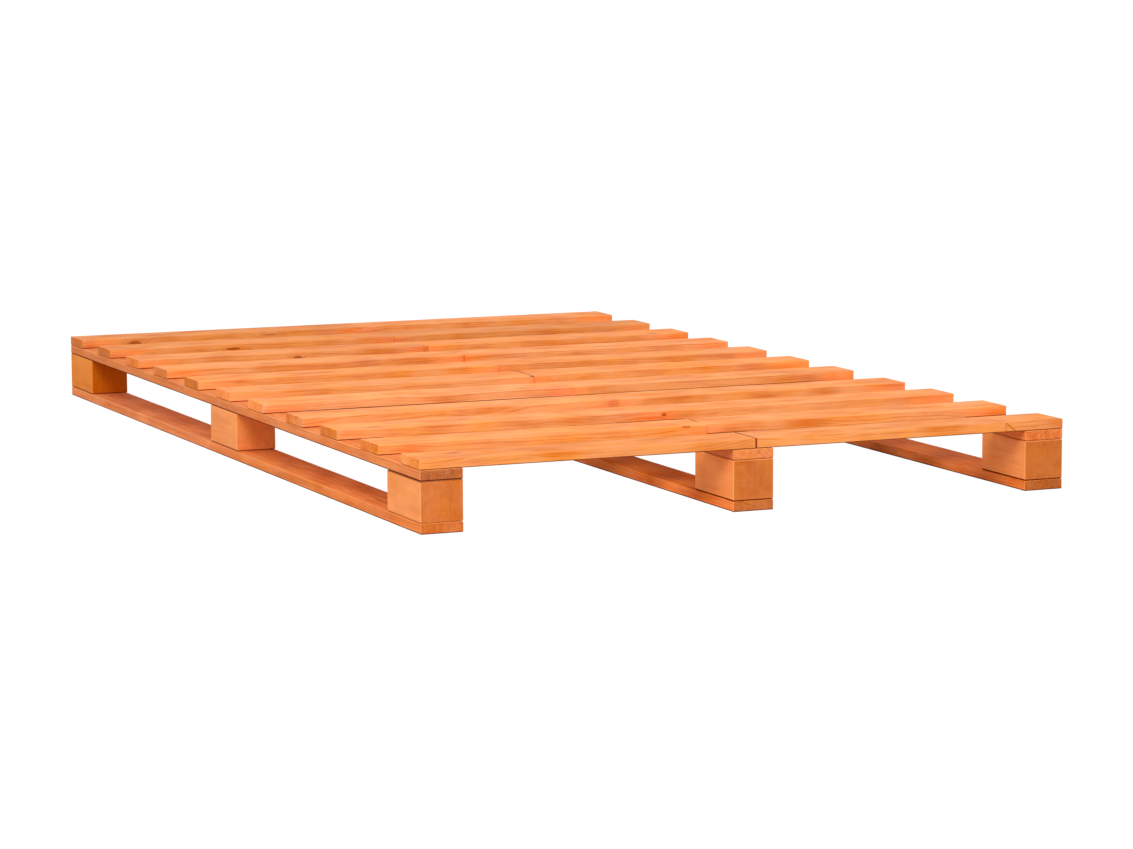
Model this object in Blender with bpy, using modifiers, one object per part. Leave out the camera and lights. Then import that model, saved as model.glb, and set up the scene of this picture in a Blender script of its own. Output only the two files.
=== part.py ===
"""Pallet bed in stained pine.

Three runners carry eleven rows of slats. A runner is a base board, three blocks and a stringer.
A row is two half slats, which meet over the centre runner. Everything is screwed from below:
the blocks through the base boards, and the slats through the stringers.

Metres, +Z up. The floor is z = 0 and the middle of the bed is x = y = 0.
The slats run along X, the runners along Y, and the front is the -Y end.
"""

import math

import bmesh
import bpy

# The whole bed
BED_WIDTH = 1.200
BED_LENGTH = 2.000
FIT_GAP = 0.0003  # left between two faces that touch
CUT_OVERRUN = 0.004  # how far a cutter reaches out of the wood
WELD_DISTANCE = 0.00001  # points this close on a turned shape are one
EDGE_RADIUS = 0.0015  # every arris of the planed wood is rounded over
EDGE_SEGMENTS = 2

# Runners
RUNNER_WIDTH = 0.075
BASE_BOARD_THICKNESS = 0.018
BLOCK_LENGTH = 0.150
BLOCK_HEIGHT = 0.069
STRINGER_THICKNESS = 0.018

# Slats
SLAT_WIDTH = 0.085
SLAT_THICKNESS = 0.017
SLAT_JOINT_GAP = 0.0015  # between the two halves of a row
# How far to the right of the centre runner's middle each row's halves meet, front to back
SLAT_JOINT_OFFSETS = (0.005, 0.003, 0.007, 0.008, 0.010, 0.008, 0.011, 0.017, 0.014, 0.014, 0.015)
# How far each half slat lies from its even place, front to back, as shares of the slat pitch
LEFT_SLAT_OFFSET_SHARES = (0, -0.01, 0.02, -0.04, 0.04, 0, -0.01, 0, -0.04, -0.02, 0)
RIGHT_SLAT_OFFSET_SHARES = (0, 0.02, 0.02, -0.01, 0.06, 0.05, 0.03, -0.04, -0.04, -0.03, 0)

# Countersunk wood screws and their holes
BLOCK_SCREW_DIAMETER = 0.006
BLOCK_SCREW_HEAD_DIAMETER = 0.012
SLAT_SCREW_DIAMETER = 0.004
SLAT_SCREW_HEAD_DIAMETER = 0.008
DRIVE_DIAMETER = 0.0045  # the socket in a block screw's head
DRIVE_DEPTH = 0.0025
HEAD_RECESS = 0.0006  # how far a head sits below the face of the wood
SCREW_CLEARANCE = 0.0003  # between a screw and its hole, all round
SCREW_SIDES = 8
SCREW_BITE_SHARE = 0.75  # of the thickness of the board that a screw ends in
SCREW_POINT_SHARE = 1.5  # length of a screw's point, in shank diameters
BLOCK_SCREW_SHARE = 0.30  # offset from the block's middle, of its length
SLAT_SCREW_SHARE = 0.26  # offset from the slat's middle, of its width
OUTER_SCREW_SHARE = 0.22  # offset from an outer runner's middle, of its width
SHARP_EDGE = math.radians(60)  # edges bent more than this stay sharp on a screw

# Heights of the layers' bottom faces
BLOCK_BOTTOM = BASE_BOARD_THICKNESS + FIT_GAP
STRINGER_BOTTOM = BLOCK_BOTTOM + BLOCK_HEIGHT + FIT_GAP
SLAT_BOTTOM = STRINGER_BOTTOM + STRINGER_THICKNESS + FIT_GAP

# Places in plan
RUNNER_PLACES = {
    "left": -(BED_WIDTH - RUNNER_WIDTH) / 2,
    "centre": 0,
    "right": (BED_WIDTH - RUNNER_WIDTH) / 2,
}
BLOCK_PLACES = {
    "front": -(BED_LENGTH - BLOCK_LENGTH) / 2,
    "middle": 0,
    "back": (BED_LENGTH - BLOCK_LENGTH) / 2,
}
SIDES = {"left": -1, "right": 1}
SLAT_OFFSET_SHARES = {"left": LEFT_SLAT_OFFSET_SHARES, "right": RIGHT_SLAT_OFFSET_SHARES}
SLAT_ROWS = len(SLAT_JOINT_OFFSETS)
SLAT_PITCH = (BED_LENGTH - SLAT_WIDTH) / (SLAT_ROWS - 1)

# Screw lengths, from the face of the head to the point
BLOCK_SCREW_LENGTH = STRINGER_BOTTOM + STRINGER_THICKNESS * SCREW_BITE_SHARE - HEAD_RECESS
SLAT_SCREW_LENGTH = STRINGER_THICKNESS + FIT_GAP + SLAT_THICKNESS * SCREW_BITE_SHARE - HEAD_RECESS


def clear_scene():
    for obj in list(bpy.data.objects):
        bpy.data.objects.remove(obj)


def new_collection(name):
    collection = bpy.data.collections.new(name)
    bpy.context.scene.collection.children.link(collection)
    return collection


def linear(hex_colour):
    """The linear values of an sRGB colour written as rrggbb, with an alpha of 1."""
    values = []
    for start in (0, 2, 4):
        value = int(hex_colour[start:start + 2], 16) / 255
        values.append(value / 12.92 if value <= 0.04045 else ((value + 0.055) / 1.055) ** 2.4)
    return (*values, 1)


def new_material(name, hex_colour, roughness, metallic=0):
    material = bpy.data.materials.new(name)
    material.use_nodes = True
    shader = material.node_tree.nodes["Principled BSDF"]
    shader.inputs["Base Color"].default_value = linear(hex_colour)
    shader.inputs["Roughness"].default_value = roughness
    shader.inputs["Metallic"].default_value = metallic
    return material


def place_object(name, mesh, location, collection, parent):
    """A new object at a place on its parent, or an empty where the mesh is None."""
    obj = bpy.data.objects.new(name, mesh)
    obj.location = location
    obj.parent = parent
    collection.objects.link(obj)
    return obj


def make_board(name, size, location, material, collection, parent, cutters):
    """A planed board or block with rounded edges and its screw holes, from its bottom face up."""
    shape = bmesh.new()
    bmesh.ops.create_cube(shape, size=1)
    bmesh.ops.scale(shape, vec=size, verts=shape.verts)
    bmesh.ops.translate(shape, vec=(0, 0, size[2] / 2), verts=shape.verts)
    mesh = bpy.data.meshes.new(name)
    shape.to_mesh(mesh)
    shape.free()
    mesh.materials.append(material)
    board = place_object(name, mesh, location, collection, parent)
    bevel = board.modifiers.new("rounded edges", "BEVEL")
    bevel.width = EDGE_RADIUS
    bevel.segments = EDGE_SEGMENTS
    for cutter in cutters:
        holes = board.modifiers.new(cutter.name, "BOOLEAN")
        holes.operation = "DIFFERENCE"
        holes.solver = "EXACT"
        holes.object = cutter


def turned_mesh(name, profile, collection):
    """The mesh of a profile of (radius, height) points, top to bottom, turned round the Z axis."""
    points = [(radius, 0, height) for radius, height in profile]
    edges = [(index, index + 1) for index in range(len(points) - 1)]
    outline = bpy.data.meshes.new(name + "_profile")
    outline.from_pydata(points, edges, [])
    turned = place_object(name + "_profile", outline, (0, 0, 0), collection, None)
    turn = turned.modifiers.new("turn", "SCREW")
    turn.axis = "Z"
    turn.steps = SCREW_SIDES
    turn.render_steps = SCREW_SIDES
    turn.use_merge_vertices = True
    turn.merge_threshold = WELD_DISTANCE
    graph = bpy.context.evaluated_depsgraph_get()
    mesh = bpy.data.meshes.new_from_object(turned.evaluated_get(graph))
    mesh.name = name
    bpy.data.objects.remove(turned)
    mesh.shade_smooth()
    mesh.set_sharp_from_angle(angle=SHARP_EDGE)
    return mesh


def screw_profile(diameter, head_diameter, length):
    """A countersunk screw that points up from its head's face at zero height."""
    shank = diameter / 2
    head = head_diameter / 2
    drive = DRIVE_DIAMETER / 2
    return [
        (0, length),
        (shank, length - diameter * SCREW_POINT_SHARE),
        (shank, head - shank),
        (head, 0),
        (drive, 0),
        (drive, DRIVE_DEPTH),
        (0, DRIVE_DEPTH),
    ]


def hole_profile(diameter, head_diameter, length):
    """The hole for such a screw, clear of it all round, with a countersink that opens downwards."""
    shank = diameter / 2 + SCREW_CLEARANCE
    head = head_diameter / 2 + SCREW_CLEARANCE
    top = length + 2 * SCREW_CLEARANCE
    below = HEAD_RECESS + CUT_OVERRUN
    return [
        (0, top),
        (shank, top - diameter * SCREW_POINT_SHARE),
        (shank, head - shank),
        (head + below, -below),
        (0, -below),
    ]


def make_hole_cutter(name, profile, places, height, collection, parent):
    """One cutter that makes the same hole at each (x, y) place."""
    hole = turned_mesh(name + "_single", profile, collection)
    shape = bmesh.new()
    for place in places:
        earlier = len(shape.verts)
        shape.from_mesh(hole)
        shape.verts.ensure_lookup_table()
        bmesh.ops.translate(shape, vec=(*place, 0), verts=shape.verts[earlier:])
    mesh = bpy.data.meshes.new(name)
    shape.to_mesh(mesh)
    shape.free()
    cutter = place_object(name, mesh, (0, 0, height), collection, parent)
    cutter.hide_render = True
    cutter.display_type = "WIRE"
    return cutter


def slat_middle(side, row):
    """The y of the middle of a half slat."""
    even = -(BED_LENGTH - SLAT_WIDTH) / 2 + row * SLAT_PITCH
    return even + SLAT_OFFSET_SHARES[side][row] * SLAT_PITCH


def half_slat_ends(side, row):
    """The x of a half slat's end at the joint and of its outer end."""
    direction = SIDES[side]
    joint = SLAT_JOINT_OFFSETS[row]
    return joint + direction * SLAT_JOINT_GAP / 2, direction * BED_WIDTH / 2


def slat_screw_places(runner):
    """Where the screws of the slats on this runner stand, two at each slat end."""
    along = SLAT_WIDTH * SLAT_SCREW_SHARE
    places = []
    for side, direction in SIDES.items():
        for row in range(SLAT_ROWS):
            middle = slat_middle(side, row)
            if runner == side:
                across = RUNNER_WIDTH * OUTER_SCREW_SHARE
                places += [(across, middle - along), (-across, middle + along)]
            elif runner == "centre":
                across = (half_slat_ends(side, row)[0] + direction * RUNNER_WIDTH / 2) / 2
                places += [(across, middle - along), (across, middle + along)]
    return places


def block_screw_places(place):
    """The two screws of a block, on the runner's middle line."""
    offset = BLOCK_LENGTH * BLOCK_SCREW_SHARE
    return [(0, BLOCK_PLACES[place] - offset), (0, BLOCK_PLACES[place] + offset)]


def make_runner(runner, bed, parts, cutters, materials, screw_mesh):
    """A base board, three blocks and a stringer, screwed together. Returns its slat screw holes."""
    middle = place_object("runner_" + runner, None, (RUNNER_PLACES[runner], 0, 0), parts, bed)
    block_holes = make_hole_cutter(
        "block_screw_holes_" + runner,
        hole_profile(BLOCK_SCREW_DIAMETER, BLOCK_SCREW_HEAD_DIAMETER, BLOCK_SCREW_LENGTH),
        [spot for place in BLOCK_PLACES for spot in block_screw_places(place)],
        HEAD_RECESS,
        cutters,
        middle,
    )
    slat_holes = make_hole_cutter(
        "slat_screw_holes_" + runner,
        hole_profile(SLAT_SCREW_DIAMETER, SLAT_SCREW_HEAD_DIAMETER, SLAT_SCREW_LENGTH),
        slat_screw_places(runner),
        STRINGER_BOTTOM + HEAD_RECESS,
        cutters,
        middle,
    )
    make_board(
        "base_board_" + runner,
        (RUNNER_WIDTH, BED_LENGTH, BASE_BOARD_THICKNESS),
        (0, 0, 0),
        materials["board"],
        parts,
        middle,
        [block_holes],
    )
    for place, block_middle in BLOCK_PLACES.items():
        make_board(
            f"block_{runner}_{place}",
            (RUNNER_WIDTH, BLOCK_LENGTH, BLOCK_HEIGHT),
            (0, block_middle, BLOCK_BOTTOM),
            materials["block"],
            parts,
            middle,
            [block_holes],
        )
        for number, spot in enumerate(block_screw_places(place), 1):
            name = f"block_screw_{runner}_{place}_{number}"
            place_object(name, screw_mesh, (*spot, HEAD_RECESS), parts, middle)
    make_board(
        "stringer_" + runner,
        (RUNNER_WIDTH, BED_LENGTH, STRINGER_THICKNESS),
        (0, 0, STRINGER_BOTTOM),
        materials["board"],
        parts,
        middle,
        [block_holes, slat_holes],
    )
    return slat_holes


def make_slats(bed, parts, slat_holes, material):
    """The rows of half slats, each on an outer runner and on its half of the centre one."""
    deck = place_object("deck", None, (0, 0, SLAT_BOTTOM), parts, bed)
    for side in SIDES:
        for row in range(SLAT_ROWS):
            inner, outer = half_slat_ends(side, row)
            make_board(
                f"slat_{row + 1:02d}_{side}",
                (abs(outer - inner), SLAT_WIDTH, SLAT_THICKNESS),
                ((inner + outer) / 2, slat_middle(side, row), 0),
                material,
                parts,
                deck,
                [slat_holes[side], slat_holes["centre"]],
            )


def main():
    clear_scene()
    parts = new_collection("pallet_bed")
    cutters = new_collection("cutters")
    materials = {
        "slat": new_material("stained pine slat", "f79c5e", 0.5),
        "board": new_material("stained pine board", "e0803f", 0.5),
        "block": new_material("stained pine block", "d9763a", 0.55),
        "screw": new_material("zinc plated steel", "c9c7bf", 0.35, 1),
    }
    screw_mesh = turned_mesh(
        "block_screw",
        screw_profile(BLOCK_SCREW_DIAMETER, BLOCK_SCREW_HEAD_DIAMETER, BLOCK_SCREW_LENGTH),
        parts,
    )
    screw_mesh.materials.append(materials["screw"])
    bed = place_object("bed", None, (0, 0, 0), parts, None)
    slat_holes = {
        runner: make_runner(runner, bed, parts, cutters, materials, screw_mesh)
        for runner in RUNNER_PLACES
    }
    make_slats(bed, parts, slat_holes, materials["slat"])


main()
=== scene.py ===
import math

import bmesh
import bpy
import numpy as np
from mathutils import Euler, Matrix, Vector


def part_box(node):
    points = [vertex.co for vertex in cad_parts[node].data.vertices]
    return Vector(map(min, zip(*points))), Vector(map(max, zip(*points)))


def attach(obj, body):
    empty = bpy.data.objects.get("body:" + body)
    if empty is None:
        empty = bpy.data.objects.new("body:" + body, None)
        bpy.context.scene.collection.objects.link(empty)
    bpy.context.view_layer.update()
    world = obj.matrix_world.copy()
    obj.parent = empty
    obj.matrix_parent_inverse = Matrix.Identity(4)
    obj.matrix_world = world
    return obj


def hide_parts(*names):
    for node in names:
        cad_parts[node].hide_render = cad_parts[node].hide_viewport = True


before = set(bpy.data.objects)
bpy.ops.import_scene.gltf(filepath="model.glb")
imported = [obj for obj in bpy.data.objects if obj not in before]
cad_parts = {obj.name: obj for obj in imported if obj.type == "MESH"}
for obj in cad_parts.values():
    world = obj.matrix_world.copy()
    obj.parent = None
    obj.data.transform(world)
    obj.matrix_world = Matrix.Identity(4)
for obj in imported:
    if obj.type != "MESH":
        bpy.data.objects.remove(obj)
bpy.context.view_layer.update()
print("frame loaded:", len(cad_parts), "solids")


# Small helpers

def toLinear(hexColour):
    # sRGB hex to the linear values that a shader wants
    values = []
    for start in (0, 2, 4):
        value = int(hexColour[start:start + 2], 16) / 255
        values.append(value / 12.92 if value <= 0.04045 else ((value + 0.055) / 1.055) ** 2.4)
    return (*values, 1)


def addNode(tree, kind, inputs, give=0, **settings):
    # adds a node, sets it, links or fills its inputs, and hands back one of its outputs
    node = tree.nodes.new(kind)
    for name, value in settings.items():
        setattr(node, name, value)
    for socket, value in inputs.items():
        if isinstance(value, bpy.types.NodeSocket):
            tree.links.new(value, node.inputs[socket])
        else:
            node.inputs[socket].default_value = value
    return node.outputs[give]


def fillRamp(socket, stops):
    # stops are (place, brightness) pairs for the ramp that gives this socket
    elements = socket.node.color_ramp.elements
    while len(elements) < len(stops):
        elements.new(1)
    for element, (place, value) in zip(elements, stops):
        element.position = place
        element.color = (value, value, value, 1)


def newPiece(name, mesh, node):
    # a piece that stands for the solid of that name, or for none
    piece = bpy.data.objects.new(name, mesh)
    bpy.context.scene.collection.objects.link(piece)
    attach(piece, "root")
    if node:
        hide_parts(node)
    return piece


def pieceName(node):
    # base_board_left becomes baseBoardLeft
    first, *rest = node.split("_")
    return first + "".join(word.capitalize() for word in rest)


def middleOf(node):
    # x and y of the middle of the solid of that name
    low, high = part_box(node)
    return (low.x + high.x) / 2, (low.y + high.y) / 2


smoothAngle = math.radians(38)  # edges that turn more than this stay crisp


# Stained pine: sawn softwood, planed, dipped in a honey brown stain and left matt.
# Long soft bands where the growth rings run out of the face, darker rings on thirstier ends,
# a few red-brown knots, and a faint sheen at low angles.
# Painted shade darkens the arrises where contact and seam shadows fall, the open joints and parts of the
# base boards, and the pale upper arrises are partly a painted highlight.

pine = {
    "ringWidth": 0.0040,  # one year's growth
    "ringUnevenness": 0.9,  # in rings
    "seasonScale": 0.4,  # wide and narrow years come in runs of one over this
    "ringShades": [(0, 0.25), (0.12, 0.05), (0.5, 0.2), (0.88, 1), (0.96, 0.9)],  # dark late in a year
    "palestYear": 0.35,  # the faintest ring beside the darkest
    "knotPush": 0.007,  # rings bend this far round a knot
    "knotRim": (1.15, 1.45),  # a knot fades out between these, in its own radii
    "knotHalo": (1.0, 3.2),  # and its halo between these
    "knotRaggedness": 0.5,  # in radii
    "ragsPerMetre": 260,
    "swayLength": 0.30,  # the trunk is not quite straight
    "swayWidth": 0.09,
    "swayAmount": 0.030,
    "streakLength": 0.14,
    "streakWidth": 0.009,
    "fibreLength": 0.035,
    "fibreWidth": 0.0016,  # real fibres are finer, and would not show
    "blotchLength": 0.09,
    "blotchWidth": 0.045,
    "stainLength": 0.07,  # patches that drank the stain more richly
    "stainWidth": 0.040,
    "stainReach": (0.25, 0.75),  # the noise between these goes from the palest patch to the richest
    "sawWidth": 0.0035,  # marks that the saw left on the ends, side by side
    "sawHeight": 0.025,
    "roughness": 0.62,
    "roughnessSwing": 0.06,  # spring wood is this much rougher, summer wood this much smoother
    "ior": 1.5,
    "relief": 0.00035,  # planed rings stand this far proud
    "reliefStrength": 0.5,
    "fibreRelief": 0.4,  # of the rings' height
}


def makeStainedPine(name, finish):
    material = bpy.data.materials.new(name)
    material.use_nodes = True
    tree = material.node_tree
    shader = tree.nodes["Principled BSDF"]

    # place in the log, in metres: X along the pith, Y and Z away from it
    log = addNode(tree, "ShaderNodeAttribute", {}, give="Vector", attribute_name="log")
    look = addNode(tree, "ShaderNodeAttribute", {}, give="Vector", attribute_name="look")
    looks = addNode(tree, "ShaderNodeSeparateXYZ", {0: look}).node.outputs
    tone, warmth, endGrain = looks[0], looks[1], looks[2]
    arris = addNode(tree, "ShaderNodeAttribute", {}, give="Fac", attribute_name="arris")

    # knots: distance 1 is the knot's rim, and Z is how dark it is
    knotMask, knotBend, knotGlow = 0.0, 0.0, 0.0
    ragged = addNode(
        tree, "ShaderNodeTexNoise", {"Vector": log, "Scale": pine["ragsPerMetre"], "Detail": 2}
    )
    for knotName in ("knotA", "knotB"):
        knot = addNode(tree, "ShaderNodeAttribute", {}, give="Vector", attribute_name=knotName)
        flat = addNode(tree, "ShaderNodeVectorMath", {0: knot, 1: (1, 1, 0)}, operation="MULTIPLY")
        reach = addNode(tree, "ShaderNodeVectorMath", {0: flat}, give="Value", operation="LENGTH")
        strength = addNode(tree, "ShaderNodeSeparateXYZ", {0: knot}, give=2)
        uneven = addNode(
            tree,
            "ShaderNodeMath",
            {0: ragged, 1: pine["knotRaggedness"], 2: reach},
            operation="MULTIPLY_ADD",
        )
        inside, glow = (
            addNode(
                tree,
                "ShaderNodeMapRange",
                {0: uneven, 1: near, 2: far, 3: 1, 4: 0},
                interpolation_type="SMOOTHSTEP",
            )
            for near, far in (pine["knotRim"], pine["knotHalo"])
        )
        dark = addNode(tree, "ShaderNodeMath", {0: inside, 1: strength}, operation="MULTIPLY")
        red = addNode(tree, "ShaderNodeMath", {0: glow, 1: strength}, operation="MULTIPLY")
        knotMask = addNode(tree, "ShaderNodeMath", {0: dark, 1: knotMask}, operation="MAXIMUM")
        knotGlow = addNode(tree, "ShaderNodeMath", {0: red, 1: knotGlow}, operation="MAXIMUM")
        knotBend = addNode(
            tree, "ShaderNodeMath", {0: red, 1: pine["knotPush"], 2: knotBend}, operation="MULTIPLY_ADD"
        )

    # one noise for each thing that varies, at that thing's own size
    sizes = {
        key: (pine[key + "Length"], pine[key + "Width"], pine[key + "Width"])
        for key in ("sway", "streak", "fibre", "blotch", "stain")
    }
    sizes["saw"] = (1, pine["sawWidth"], pine["sawHeight"])  # used on the ends alone
    scaled = {}
    for key, size in sizes.items():
        scales = tuple(1 / side for side in size)
        stretched = addNode(tree, "ShaderNodeVectorMath", {0: log, 1: scales}, operation="MULTIPLY")
        scaled[key] = addNode(tree, "ShaderNodeTexNoise", {"Vector": stretched, "Scale": 1, "Detail": 2})

    # growth rings, as distance from a pith that sways, pushed aside by the knots
    across = addNode(tree, "ShaderNodeVectorMath", {0: log, 1: (0, 1, 1)}, operation="MULTIPLY")
    fromPith = addNode(tree, "ShaderNodeVectorMath", {0: across}, give="Value", operation="LENGTH")
    swayed = addNode(
        tree,
        "ShaderNodeMath",
        {0: scaled["sway"], 1: pine["swayAmount"], 2: fromPith},
        operation="MULTIPLY_ADD",
    )
    pushed = addNode(tree, "ShaderNodeMath", {0: swayed, 1: knotBend}, operation="ADD")
    years = addNode(tree, "ShaderNodeMath", {0: pushed, 1: 1 / pine["ringWidth"]}, operation="MULTIPLY")
    season = addNode(
        tree, "ShaderNodeTexNoise", {"W": years, "Scale": pine["seasonScale"]}, noise_dimensions="1D"
    )
    count = addNode(
        tree, "ShaderNodeMath", {0: season, 1: pine["ringUnevenness"], 2: years}, operation="MULTIPLY_ADD"
    )
    phase = addNode(tree, "ShaderNodeMath", {0: count}, operation="FRACT")
    lateWood = addNode(tree, "ShaderNodeValToRGB", {0: phase})
    fillRamp(lateWood, pine["ringShades"])
    yearNumber = addNode(tree, "ShaderNodeMath", {0: count}, operation="FLOOR")
    yearDark = addNode(tree, "ShaderNodeTexWhiteNoise", {"W": yearNumber}, noise_dimensions="1D")
    yearShare = addNode(tree, "ShaderNodeMapRange", {0: yearDark, 3: pine["palestYear"], 4: 1})
    rings = addNode(tree, "ShaderNodeMath", {0: lateWood, 1: yearShare}, operation="MULTIPLY")

    # how far the colour goes from spring wood to summer wood
    depth = addNode(
        tree,
        "ShaderNodeMath",
        {0: rings, 1: finish["ringContrast"], 2: finish["depth"]},
        operation="MULTIPLY_ADD",
    )
    for key in ("streak", "fibre", "blotch", "saw"):
        centred = addNode(tree, "ShaderNodeMath", {0: scaled[key], 1: 0.5}, operation="SUBTRACT")
        if key == "saw":
            centred = addNode(tree, "ShaderNodeMath", {0: centred, 1: endGrain}, operation="MULTIPLY")
        depth = addNode(
            tree,
            "ShaderNodeMath",
            {0: centred, 1: finish[key + "Contrast"], 2: depth},
            operation="MULTIPLY_ADD",
        )
    depth = addNode(tree, "ShaderNodeMath", {0: depth, 1: 0}, operation="ADD", use_clamp=True)
    wood = addNode(
        tree,
        "ShaderNodeMix",
        {0: depth, 6: toLinear(finish["springWood"]), 7: toLinear(finish["summerWood"])},
        give=2,
        data_type="RGBA",
    )

    # the ends drink more stain, the upper arrises are worn pale with a painted highlight, and painted shade
    # darkens the arrises where contact and seam shadows fall, and the open joints
    ends = addNode(
        tree,
        "ShaderNodeMix",
        {0: endGrain, 6: wood, 7: toLinear(finish["endTint"])},
        give=2,
        data_type="RGBA",
        blend_type="MULTIPLY",
    )
    # pale upper arrises: worn, and partly a painted highlight
    wearHighlightShare = addNode(tree, "ShaderNodeMapRange", {0: arris, 4: finish["arrisWear"]})
    worn = addNode(
        tree,
        "ShaderNodeMix",
        {0: wearHighlightShare, 6: ends, 7: toLinear(finish["arrisColour"])},
        give=2,
        data_type="RGBA",
    )
    # painted shade along the arrises: contact and seam shadows, and the gaps of open joints
    arrisShadeShare = addNode(tree, "ShaderNodeMapRange", {0: arris, 2: -1, 4: finish["arrisBead"]})
    eased = addNode(
        tree,
        "ShaderNodeMix",
        {0: arrisShadeShare, 6: worn, 7: toLinear(finish["beadColour"])},
        give=2,
        data_type="RGBA",
    )

    # knots, with a redder halo
    haloShare = addNode(tree, "ShaderNodeMath", {0: knotGlow, 1: finish["haloShare"]}, operation="MULTIPLY")
    haloed = addNode(
        tree,
        "ShaderNodeMix",
        {0: haloShare, 6: eased, 7: toLinear(finish["haloColour"])},
        give=2,
        data_type="RGBA",
    )
    knotShade = addNode(
        tree,
        "ShaderNodeMix",
        {0: ragged, 6: toLinear(finish["knotLight"]), 7: toLinear(finish["knotDark"])},
        give=2,
        data_type="RGBA",
    )
    knotted = addNode(
        tree, "ShaderNodeMix", {0: knotMask, 6: haloed, 7: knotShade}, give=2, data_type="RGBA"
    )

    # each board's own tone, and patches that are richer or paler
    value = addNode(tree, "ShaderNodeMath", {0: tone, 1: 1}, operation="ADD")
    low, high = pine["stainReach"]
    swing = finish["stainSwing"]
    patch = addNode(
        tree, "ShaderNodeMapRange", {0: scaled["stain"], 1: low, 2: high, 3: 1 - swing, 4: 1 + swing}
    )
    richness = addNode(tree, "ShaderNodeMath", {0: warmth, 1: patch}, operation="ADD")
    toned = addNode(
        tree, "ShaderNodeHueSaturation", {"Saturation": richness, "Value": value, "Color": knotted}
    )

    tree.links.new(toned, shader.inputs["Base Color"])

    # matt, with a faint sheen that the arrises under painted shade lack, and rings that stand a little
    # proud
    rough = addNode(
        tree,
        "ShaderNodeMapRange",
        {
            0: depth,
            3: pine["roughness"] + pine["roughnessSwing"],
            4: pine["roughness"] - pine["roughnessSwing"],
        },
    )
    tree.links.new(rough, shader.inputs["Roughness"])
    shader.inputs["IOR"].default_value = pine["ior"]
    bare = addNode(tree, "ShaderNodeMath", {0: 1, 1: arrisShadeShare}, operation="SUBTRACT", use_clamp=True)
    sheen = addNode(tree, "ShaderNodeMath", {0: bare, 1: finish["gloss"]}, operation="MULTIPLY")
    tree.links.new(sheen, shader.inputs["Specular IOR Level"])
    height = addNode(
        tree,
        "ShaderNodeMath",
        {0: scaled["fibre"], 1: pine["fibreRelief"], 2: rings},
        operation="MULTIPLY_ADD",
    )
    bump = addNode(
        tree,
        "ShaderNodeBump",
        {"Height": height, "Strength": pine["reliefStrength"], "Distance": pine["relief"]},
    )
    tree.links.new(bump, shader.inputs["Normal"])
    return material


# in each finish, the pale arris colour is wear with a painted highlight, and the bead colour is painted
# shade
pineFinishes = {
    "slat": {
        "springWood": "ffa45e",
        "summerWood": "e67c38",
        "endTint": "e2cca0",
        "arrisColour": "ffb274",
        "haloColour": "d8702e",
        "knotLight": "c86424",
        "knotDark": "9c4514",
        "ringContrast": 0.75,
        "streakContrast": 1.6,
        "fibreContrast": 0.5,
        "blotchContrast": 2.2,
        "stainSwing": 0.05,
        "sawContrast": 1.6,
        "depth": 0.12,
        # how pale the upper arrises go, worn and partly a painted highlight, and how far the painted shade
        # on arrises goes
        "arrisWear": 0.18,
        "arrisBead": 0.9,
        "beadColour": "6a1c04",
        "haloShare": 0.35,
        "gloss": 0.10,
    },
    "board": {
        "springWood": "f4914e",
        "summerWood": "ce6628",
        "endTint": "e0d2c2",
        "arrisColour": "f59a5a",
        "haloColour": "c8622a",
        "knotLight": "b05c2a",
        "knotDark": "7a3512",
        "ringContrast": 0.6,
        "streakContrast": 1.2,
        "fibreContrast": 0.4,
        "blotchContrast": 1.2,
        "stainSwing": 0.03,
        "sawContrast": 1.4,
        "depth": 0.25,
        # how pale the upper arrises go, worn and partly a painted highlight, and how far the painted shade
        # on arrises goes
        "arrisWear": 0.3,
        "arrisBead": 0.95,
        "beadColour": "6a1c04",
        "haloShare": 0.35,
        "gloss": 0.03,
    },
    "block": {
        "springWood": "fca260",
        "summerWood": "de7836",
        "endTint": "dcc099",
        "arrisColour": "f8a060",
        "haloColour": "c8622a",
        "knotLight": "b05c2a",
        "knotDark": "7a3512",
        "ringContrast": 0.22,
        "streakContrast": 0.6,
        "fibreContrast": 0.3,
        "blotchContrast": 1.3,
        "stainSwing": 0.02,
        "sawContrast": 0.8,
        "depth": 0.2,
        # how pale the upper arrises go, worn and partly a painted highlight, and how far the painted shade
        # on arrises goes
        "arrisWear": 0.3,
        "arrisBead": 0.95,
        "beadColour": "6a1c04",
        "haloShare": 0.35,
        "gloss": 0.10,
    },
}
pines = {key: makeStainedPine("stained pine " + key, finish) for key, finish in pineFinishes.items()}


# Zinc plated steel: pressed and rolled screws with a thin bright plating.
# A cool grey metal, a little cloudy, soft highlights.

zinc = {
    "colour": "c9cac6",
    "cloud": "a9aba8",
    "cloudSize": 0.0015,
    "roughness": (0.25, 0.42),  # in the bright places and in the cloudy ones
    "relief": 0.00005,
    "reliefStrength": 0.3,
}


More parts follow.
